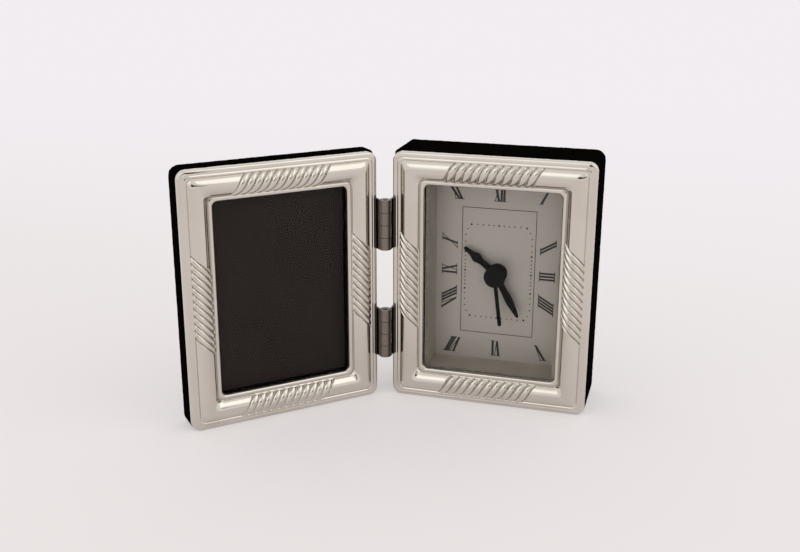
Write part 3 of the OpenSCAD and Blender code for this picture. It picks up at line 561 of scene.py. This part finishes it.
def sheet_rings():
    """Lines round the pressed sheet, one for each point of its section: X, Y and Z as drawn, and how dark"""
    section = moulding()
    corner_steps, inner_radius, wider, fade = 12, 2.3, 1.7, 1.7
    curved_from, curved_to = 3.5, 11.4
    rings = []
    for row, (s, z, under, tarnish_and_shade) in enumerate(section):
        before, after = section[max(row - 1, 0)], section[min(row + 1, len(section) - 1)]
        normal = Vector((before[1] - after[1], after[0] - before[0])).normalized()
        if not curved_from <= s <= curved_to:
            normal = Vector((0, 1))
        radius = inner_radius + wider * math.exp(-s / fade)
        ring = []
        for side in range(4):
            long, across = (HIGH, WIDE) if side % 2 else (WIDE, HIGH)
            turn = Matrix.Rotation(math.pi / 2 * side, 2)
            for x in side_columns(long, s, radius):
                rise, groove, cover = 0.0, 0.0, 0.0
                if abs(s - REED_MIDDLE) < REED_REACH and abs(x) < ROW_REACH:
                    rise, groove, cover = reed_rise(x, s, side)
                flat = turn @ Vector((x, -across / 2 + s + normal.x * rise))
                height = z + (under - z) * cover + normal.y * rise
                # How dark the place is painted: tarnish and painted shade in the reed valleys, the step and the
                # lip
                tone = max(groove, tarnish_and_shade * (1 - cover))
                ring.append((flat.x + WIDE / 2, flat.y + HIGH / 2, height, tone))
            for step in range(1, corner_steps):
                a = math.pi / 2 * step / corner_steps
                flat = turn @ Vector((long / 2 - s - radius + radius * math.sin(a),
                                      -across / 2 + s + radius - radius * math.cos(a)))
                ring.append((flat.x + WIDE / 2, flat.y + HIGH / 2, z, tarnish_and_shade))
        ring.append(ring[0])
        rings.append(ring)
    return rings


class FRAMECLOCK_OT_fronts(bpy.types.Operator):
    """Presses the two silver fronts, with soft corners and plump reeds"""
    bl_idname = "frameclock.fronts"
    bl_label = "Silver fronts"

    def execute(self, context):
        rings = sheet_rings()
        rows, columns = len(rings), len(rings[0])
        for node, body in (("clock_front", "clock_half"), ("photo_front", "photo_half")):
            place = half_place(body)
            bm = bmesh.new()
            bmesh.ops.create_grid(bm, x_segments=columns - 1, y_segments=rows - 1, size=1.0)
            # Each vertex carries how dark it is painted, for tarnish and shade, to the silver material
            groove = bm.verts.layers.float.new("groove")
            for vertex in bm.verts:
                column = round((vertex.co.x + 1) / 2 * (columns - 1))
                row = round((vertex.co.y + 1) / 2 * (rows - 1))
                *spot, vertex[groove] = rings[row][column]
                vertex.co = place @ Vector(spot)
            bmesh.ops.remove_doubles(bm, verts=bm.verts, dist=1e-7)
            piece = new_piece(node + "_sheet", bm, finish_of("silver"), body, smooth=True)
            piece.data.set_sharp_from_angle(angle=math.radians(60))
            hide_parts(node)
        return {"FINISHED"}


class FRAMECLOCK_OT_cases(bpy.types.Operator):
    """Covers the two cases with flock that has a nap"""
    bl_idname = "frameclock.cases"
    bl_label = "Flocked cases"

    def execute(self, context):
        s = context.scene.frameclock_finish
        # Square pillars fill the corners at the hinge side, where the block is squarer: their width, and how
        # far they stand in from the block's sides, from its rim and from its back
        wide, inset, under_rim, off_back = 4.0, 0.08, 3.5, 0.7
        tuft, fibre = 2.3 * MM, 2.9
        for node, body in (("clock_case", "clock_half"), ("photo_case", "photo_half")):
            piece = bpy.data.objects.new(node + "_flock", frame["nodes"][node].data.copy())
            context.scene.collection.objects.link(piece)
            bm = bmesh.new()
            bm.from_mesh(piece.data)
            bmesh.ops.remove_doubles(bm, verts=bm.verts, dist=1e-6)
            x = inset if body == "clock_half" else WIDE - (wide + inset)
            long = DEPTH[body] - under_rim - off_back
            for y in (inset, HIGH - (wide + inset)):
                pillar = block((x + wide / 2, y + wide / 2, -under_rim - long / 2), (wide, wide, long))
                made = bmesh.ops.create_cube(bm, size=1.0, matrix=half_place(body) @ pillar)
                ease(bm, list({edge for vertex in made["verts"] for edge in vertex.link_edges}), 1.0 * MM, 3)
            bm.to_mesh(piece.data)
            bm.free()
            grid = piece.modifiers.new("grid", "REMESH")
            grid.mode, grid.voxel_size = "VOXEL", s.flock_grid
            evaluated = piece.evaluated_get(context.evaluated_depsgraph_get())
            covered = bpy.data.meshes.new_from_object(evaluated)
            bpy.data.objects.remove(piece)
            bm = bmesh.new()
            bm.from_mesh(covered)
            bm.normal_update()
            for vertex in bm.verts:
                place = vertex.co / tuft
                rise = noise.noise(place) * 0.5 + noise.noise(place * fibre)
                vertex.co += vertex.normal * (s.flock_lift + s.flock_nap * 0.6 * rise)
                vertex.co.z = max(vertex.co.z, 0.0)
            piece = new_piece(node + "_flock", bm, finish_of("velvet"), body, smooth=True)
            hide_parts(node)
        return {"FINISHED"}


class FRAMECLOCK_OT_board(bpy.types.Operator):
    """Cuts the board behind the photo pane, with eased edges, and black flocked strips round its window that fill
    the gap between the ledge and the board, standing in for the shade there
    """
    bl_idname = "frameclock.board"
    bl_label = "Board"

    def execute(self, context):
        wide, high, foot, front, thick = 64.6, 100.0, 9.0, -6.85, 0.55
        bm = bmesh.new()
        board = block((WIDE / 2, foot + high / 2, front - thick / 2), (wide, high, thick))
        bmesh.ops.create_cube(bm, size=1.0, matrix=board)
        corners = [edge for edge in bm.edges if abs(edge.verts[0].co.z - edge.verts[1].co.z) > thick / 2]
        ease(bm, corners, 1.5, 5)
        ease(bm, list(bm.edges), 0.12, 2)
        bm.transform(half_place("photo_half"))
        piece = new_piece("photo_board", bm, finish_of("card"), "backing_board")
        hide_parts("photo_backing")

        # Black flocked strips close the gap between the window's ledge and the board: a dark sheet standing in for
        # the shade in that gap
        window_w, window_h, strip, front, deep = 58.5, 83.0, 1.6, -5.05, 1.72
        x, y = (window_w + strip) / 2, (window_h + strip) / 2
        level, upright = (window_w + 2 * strip, strip, deep), (strip, window_h, deep)
        bm = bmesh.new()
        for across, up, size in ((0, y, level), (0, -y, level), (x, 0, upright), (-x, 0, upright)):
            shade_strip = block((WIDE / 2 + across, HIGH / 2 + up, front - deep / 2), size)
            bmesh.ops.create_cube(bm, size=1.0, matrix=shade_strip)
        ease(bm, list(bm.edges), 0.15, 2)
        bm.transform(half_place("photo_half"))
        new_piece("window_lining", bm, finish_of("velvet"), "photo_half")
        return {"FINISHED"}


# The hands: node, body, how far the back stands in front of the dial, angle, cap radius, cap thickness and
# the blade's outline as (distance from the axis, half width)
HANDS = (
    ("hour_hand", "hours", 2.5, 307.6, 4.4, 0.4,
     ((2.8, 1.5), (5, 1.52), (8.4, 1.42), (9.5, 1.6), (10.5, 2.12), (11.5, 2.27), (12.5, 2.0), (13.4, 1.5),
      (14.3, 1.25), (16, 1.0), (17.4, 0.88), (18.0, 0.74), (18.4, 0.4))),
    ("minute_hand", "minutes", 3.8, 151.2, 3.9, 0.4,
     ((2.8, 1.45), (5.8, 1.45), (8, 1.5), (10.5, 1.68), (12.4, 1.78), (14.4, 1.62), (17, 1.25), (19, 0.94),
      (20.5, 0.7), (20.95, 0.52), (21.2, 0.2))),
    ("second_hand", "seconds", 7.0, 172.4, 4.75, 0.6,
     ((2.8, 0.84), (12, 0.84), (21.6, 0.86), (22.05, 0.7), (22.3, 0.4), (22.4, 0.1))),
)


def blade(bm, outline):
    """A crowned blade along Y"""
    steps, across, thick, crown = 60, 4, 0.4, 0.13
    first, last = outline[0][0], outline[-1][0]
    bmesh.ops.create_grid(bm, x_segments=steps, y_segments=across, size=1.0)
    for vertex in bm.verts:
        along = first + (last - first) * (vertex.co.x + 1) / 2
        near = max(i for i, point in enumerate(outline[:-1]) if point[0] <= along + 1e-6)
        (a, low), (b, high) = outline[near], outline[near + 1]
        half = low + (high - low) * (along - a) / (b - a)
        rise = crown * (1 - abs(vertex.co.y) ** 3)
        vertex.co = Vector((vertex.co.y * half, along, thick - crown + rise))
    made = bmesh.ops.extrude_face_region(bm, geom=list(bm.faces), use_keep_orig=True)
    for item in made["geom"]:
        if isinstance(item, bmesh.types.BMVert):
            item.co.z = 0.0


def domed_cap(bm, radius, thick):
    """A cap, whose section from the middle of its front to the middle of its back is spun round the axis"""
    edge = min(thick, 0.45) / 2
    front = [(0.0, thick), (radius * 0.5, thick - 0.015), (radius - 0.7, thick - 0.05)]
    turn = [(radius - edge + edge * math.sin(a), thick - 0.06 - edge + edge * math.cos(a))
            for a in (math.pi / 12 * i for i in range(1, 7))]
    back = [(radius, 0.05), (radius - 0.05, 0.0), (0.0, 0.0)]
    line = [bm.verts.new((x, 0, z)) for x, z in front + turn + back]
    edges = [bm.edges.new(pair) for pair in zip(line, line[1:])]
    bmesh.ops.spin(bm, geom=line + edges, cent=(0, 0, 0), axis=(0, 0, 1), dvec=(0, 0, 0),
                   angle=math.tau, steps=64, use_merge=True, use_duplicate=False)


class FRAMECLOCK_OT_hands(bpy.types.Operator):
    """Stamps the three lacquered hands, with crowned blades and domed caps"""
    bl_idname = "frameclock.hands"
    bl_label = "Hands"

    def execute(self, context):
        tube_radius, tube_long, tube_middle = 1.1, 2.0, -0.98
        for node, body, lift, angle, cap, thick, outline in HANDS:
            bm = bmesh.new()
            blade(bm, outline)
            domed_cap(bm, cap, thick)
            bmesh.ops.remove_doubles(bm, verts=bm.verts, dist=1e-4)
            if node == "second_hand":
                tube = Matrix.Translation((0, 0, tube_middle))
                bmesh.ops.create_cone(bm, cap_ends=True, segments=32, radius1=tube_radius,
                                      radius2=tube_radius, depth=tube_long, matrix=tube)
            turn = Matrix.Translation((WIDE / 2, HIGH / 2, lift - DIAL_DEEP)) @ \
                Matrix.Rotation(-math.radians(angle), 4, "Z")
            bm.transform(half_place("clock_half") @ turn)
            piece = new_piece(node + "_blade", bm, finish_of("hand_black"), body, smooth=True)
            piece.data.set_sharp_from_angle(angle=math.radians(40))
            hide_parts(node)
        return {"FINISHED"}


# The letters of the numerals, 1 high: how far the next letter stands, and each stroke's foot, its head and
# whether it is thick
LETTERS = {
    "I": (0.62, ((0.31, 0.31, True),)),
    "V": (1.3, ((0.62, 0.2, True), (0.66, 1.12, False))),
    "X": (1.36, ((1.1, 0.24, True), (0.24, 1.1, False))),
}
HOURS = ("XII", "I", "II", "III", "IIII", "V", "VI", "VII", "VIII", "IX", "X", "XI")
# How the numerals at the sides, and those at the top and bottom, are drawn: slant of those beside the middle
# one, how far they stand from it, width of the letters, and weight of the thick strokes
AT_SIDES, AT_ENDS = (0.59, 13.1 * MM, 1.0, 1.0), (0.5, 19.6 * MM, 0.86, 1.14)


class FRAMECLOCK_OT_dial_print(bpy.types.Operator):
    """Prints the numerals, the dotted minute track and the thin rectangle on the dial"""
    bl_idname = "frameclock.dial_print"
    bl_label = "Dial print"

    def execute(self, context):
        s = context.scene.frameclock_dial
        ink = finish_of("dial_ink")
        # The ink goes half its height into the plate
        ink_deep, ink_y = s.ink_height * 1.5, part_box("dial")[0].y - s.ink_height * 0.25

        def stroke(bm, a, b, weight, across=None):
            """A flat bar from a to b on the dial, its ends cut along the direction across"""
            a, b = Vector((a[0], 0, a[1])), Vector((b[0], 0, b[1]))
            along = b - a
            side = Vector((along.z, 0, -along.x)).normalized()
            if across:
                side = Vector((across[0], 0, across[1])).normalized()
            lean = abs(side.cross(along.normalized()).length)
            width = side * (weight / max(lean, 0.3))
            middle = (a + b) / 2
            bar = Matrix((
                (width.x, 0, along.x, middle.x + HAND_AXIS.x),
                (0, ink_deep, 0, ink_y),
                (width.z, 0, along.z, middle.z + HAND_AXIS.z),
                (0, 0, 0, 1)))
            bmesh.ops.create_cube(bm, size=1.0, matrix=bar)

        letter_unit, thick_serif, thin_serif = 2.2 * MM, 0.29, 0.22
        numerals = bmesh.new()
        for hour, word in enumerate(HOURS):
            angle = math.radians(30 * hour)
            up = Vector((math.sin(angle), math.cos(angle)))
            sideways = abs(up.x) > 0.8
            inner, outer = (s.side_inner, s.side_outer) if sideways else (s.end_inner, s.end_outer)
            slant, beside, stretch, bold = AT_SIDES if sideways else AT_ENDS
            middle = (inner + outer) / 2
            height = outer - inner
            # The letters' feet and heads run along the dial's edge, and their uprights point at the hand axis
            if sideways:
                out = Vector((math.copysign(1, up.x), 0))
                run = Vector((0, -out.x))
                off = 0 if abs(up.y) < 0.1 else math.copysign(1, up.y)
                slope = slant * (off * run.y)
                centre = Vector((out.x * middle, off * beside))
            else:
                out = Vector((0, math.copysign(1, up.y)))
                run = Vector((out.y, 0))
                off = 0 if abs(up.x) < 0.1 else math.copysign(1, up.x)
                slope = slant * (off * run.x)
                centre = Vector((off * beside, out.y * middle))
            unit = letter_unit * stretch
            total = sum(LETTERS[letter][0] for letter in word) * unit

            def at(across, rise):
                """Place on the dial of a point so far along the word and up its letters"""
                return centre + run * (across - total / 2 + slope * (rise - 0.5) * height) + \
                    out * ((rise - 0.5) * height)

            start = 0.0
            feet, heads = [], []
            for letter in word:
                advance, strokes = LETTERS[letter]
                for foot, head, thick in strokes:
                    low, high = start + foot * unit, start + head * unit
                    stroke(numerals, at(low, 0), at(high, 1), s.thick * bold if thick else s.thin, run)
                    reach = (thick_serif if thick else thin_serif) * unit + (s.thick if thick else s.thin) / 2
                    heads.append((high - reach, high + reach))
                    if letter != "V":
                        feet.append((low - reach, low + reach))
                start += advance * unit
            for rise, serifs in ((0, feet), (1, heads)):
                for a, b in serifs:
                    stroke(numerals, at(a, rise), at(b, rise), s.thin * 0.9)
        new_piece("dial_numerals", numerals, ink, "clock_half")

        dots = bmesh.new()
        half_w, half_h = s.track_width / 2, s.track_height / 2
        corner, cut = 1.82, 0.45
        for minute in range(60):
            angle = math.radians(6 * minute)
            x, z = math.sin(angle), math.cos(angle)
            scale = min(half_w / max(abs(x), 1e-6), half_h / max(abs(z), 1e-6))
            x, z = x * scale, z * scale
            # The corners of the track are cut
            over = abs(x) / half_w + abs(z) / half_h - corner
            if over > 0:
                x, z = x * (1 - over * cut), z * (1 - over * cut)
            across = s.dot_small if minute % 5 else s.dot_large
            spot = Matrix.Translation((HAND_AXIS.x + x, ink_y, HAND_AXIS.z + z)) @ \
                Matrix.Rotation(math.pi / 2, 4, "X")
            bmesh.ops.create_cone(dots, cap_ends=True, segments=12, radius1=across / 2, radius2=across / 2,
                                  depth=ink_deep, matrix=spot)
        new_piece("minute_dots", dots, ink, "clock_half")

        line = bmesh.new()
        w, h = s.line_width / 2, s.line_height / 2
        for a, b in (((-w, h), (w, h)), ((w, h), (w, -h)), ((w, -h), (-w, -h)), ((-w, -h), (-w, h))):
            stroke(line, a, b, s.line_weight)
        new_piece("dial_line", line, ink, "clock_half")
        return {"FINISHED"}


def facing(place):
    """Matrix that stands a flat piece of the stage at a place, turned to the hands"""
    turn = (Vector(place) - HAND_AXIS).to_track_quat("Z", "Y").to_matrix().to_4x4()
    return Matrix.Translation(place) @ turn


def only_mirrored(piece):
    """Hides a piece of the stage from all but the polished metal and the glass, which mirror it"""
    piece.visible_camera = piece.visible_diffuse = False
    piece.visible_shadow = piece.visible_transmission = False


class FRAMECLOCK_OT_stage(bpy.types.Operator):
    """Lays the floor, hangs the lights and sets up the camera"""
    bl_idname = "frameclock.stage"
    bl_label = "Stage"

    def execute(self, context):
        s = context.scene.frameclock_stage
        scene = context.scene
        scene.view_settings.view_transform = "Standard"

        # The floor is lit near the object, and turns into even light behind it
        floor = Shade("pale_floor")
        depth = floor.add("ShaderNodeSeparateXYZ", inputs={0: floor.place()}, out="Y")
        tone = floor.mix(floor.span(depth, -0.35, 0.9), tuple(s.floor_near), tuple(s.floor_far))
        lit = floor.add("ShaderNodeBsdfPrincipled", inputs={"Base Color": tone, "Roughness": 0.85,
                                                            "Specular IOR Level": 0.1})
        plain = floor.add("ShaderNodeEmission", inputs={"Color": tone, "Strength": 1.0})
        seen = floor.add("ShaderNodeLightPath", out="Is Camera Ray") * \
            floor.span(depth, 0.05, 0.45, 0.48, 1.0)
        mirrored = floor.add("ShaderNodeLightPath", out="Is Glossy Ray") * 0.3
        floor.output(floor.add("ShaderNodeMixShader", inputs={0: seen + mirrored, 1: lit, 2: plain}))
        bm = bmesh.new()
        bmesh.ops.create_grid(bm, x_segments=8, y_segments=8, size=30.0)
        ground = linked_object("floor", bm, floor.material)

        world = bpy.data.worlds.new("studio")
        scene.world = world
        world.use_nodes = True
        background = world.node_tree.nodes["Background"]
        background.inputs["Color"].default_value = (1.0, 0.985, 0.965, 1)
        background.inputs["Strength"].default_value = s.sky

        light = bpy.data.lights.new("softbox", "AREA")
        light.shape, light.size, light.size_y = "RECTANGLE", 0.8, 0.9
        light.energy, light.color = s.softbox, (1, 0.985, 0.96)
        lamp = bpy.data.objects.new("softbox", light)
        scene.collection.objects.link(lamp)
        place, aim = Vector((0.87, -0.2, 0.86)), Vector((-0.05, -0.02, 0.05))
        lamp.location = place
        lamp.rotation_euler = (aim - place).to_track_quat("-Z", "Y").to_euler()

        # Dark cards that only the polished metal sees: the camera, and the low gap in the tent at its side
        dark = Shade("dark_card").finish(Base_Color=(0.012, 0.011, 0.011), Roughness=0.9)
        for name, place, size in (("camera_card", (0.095, -0.49, 0.225), (0.13, 0.12)),
                                  ("tent_gap", (0.62, -1.0, 0.38), (1.05, 0.16))):
            bm = bmesh.new()
            bmesh.ops.create_grid(bm, x_segments=1, y_segments=1, size=0.5)
            bm.transform(facing(place) @ Matrix.Diagonal((*size, 1, 1)))
            card = linked_object(name, bm, dark)
            only_mirrored(card)

        # The brighter part of the tent over the camera, which melts into the even light
        place, core, radius, glow = Vector((-0.3, -1.15, 0.98)), 0.12, 0.72, 1.5
        bright = Shade("tent_panel")
        near = bright.add("ShaderNodeVectorMath", {"operation": "DISTANCE"}, {0: bright.place(), 1: place},
                          out="Value")
        strength = bright.span(near, core, radius, glow, s.sky)
        bright.output(bright.add("ShaderNodeEmission", inputs={"Color": (1.0, 0.985, 0.96, 1),
                                                               "Strength": strength}))
        bm = bmesh.new()
        bmesh.ops.create_circle(bm, cap_ends=True, segments=64, radius=radius)
        bm.transform(facing(place))
        panel = linked_object("tent_panel", bm, bright.material)
        only_mirrored(panel)

        lens = bpy.data.cameras.new("camera")
        lens.lens, lens.sensor_width, lens.sensor_fit = s.lens, 36.0, "HORIZONTAL"
        lens.clip_start, lens.clip_end = 0.01, 50.0
        camera = bpy.data.objects.new("camera", lens)
        scene.collection.objects.link(camera)
        yaw, pitch = s.camera_yaw, s.camera_pitch
        ahead = Vector((math.sin(yaw) * math.cos(pitch), math.cos(yaw) * math.cos(pitch), -math.sin(pitch)))
        level = Vector((math.cos(yaw), -math.sin(yaw), 0.0))
        upright = level.cross(ahead)
        c, d = math.cos(s.camera_roll), math.sin(s.camera_roll)
        right, up = c * level + d * upright, c * upright - d * level
        turn = Matrix((right, up, -ahead)).transposed().to_4x4()
        camera.matrix_world = Matrix.Translation(s.camera_place) @ turn
        scene.camera = camera
        return {"FINISHED"}


class FRAMECLOCK_PT_panel(bpy.types.Panel):
    """Lists the steps and settings of the frame clock"""
    bl_idname = "FRAMECLOCK_PT_panel"
    bl_label = "Photo frame clock"
    bl_space_type = "VIEW_3D"
    bl_region_type = "UI"
    bl_category = "Frame clock"

    def draw(self, context):
        for step in STEPS:
            self.layout.operator(step.bl_idname)
        for settings in (context.scene.frameclock_finish, context.scene.frameclock_dial,
                         context.scene.frameclock_stage):
            box = self.layout.box()
            for key in settings.__annotations__:
                box.prop(settings, key)


STEPS = (FRAMECLOCK_OT_stage, FRAMECLOCK_OT_finishes, FRAMECLOCK_OT_fronts, FRAMECLOCK_OT_cases,
         FRAMECLOCK_OT_board, FRAMECLOCK_OT_hands, FRAMECLOCK_OT_dial_print)
SETTINGS = {"frameclock_finish": FinishSettings, "frameclock_dial": DialSettings,
            "frameclock_stage": StageSettings}


def register():
    for item in (*SETTINGS.values(), *STEPS, FRAMECLOCK_PT_panel):
        bpy.utils.register_class(item)
    for name, group in SETTINGS.items():
        setattr(bpy.types.Scene, name, bpy.props.PointerProperty(type=group))


def unregister():
    for name in SETTINGS:
        delattr(bpy.types.Scene, name)
    for item in reversed((*SETTINGS.values(), *STEPS, FRAMECLOCK_PT_panel)):
        bpy.utils.unregister_class(item)


def main():
    """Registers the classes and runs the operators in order"""
    register()
    bpy.ops.frameclock.stage()
    bpy.ops.frameclock.finishes()
    bpy.ops.frameclock.fronts()
    bpy.ops.frameclock.cases()
    bpy.ops.frameclock.board()
    bpy.ops.frameclock.hands()
    bpy.ops.frameclock.dial_print()


if __name__ == "__main__":
    main()
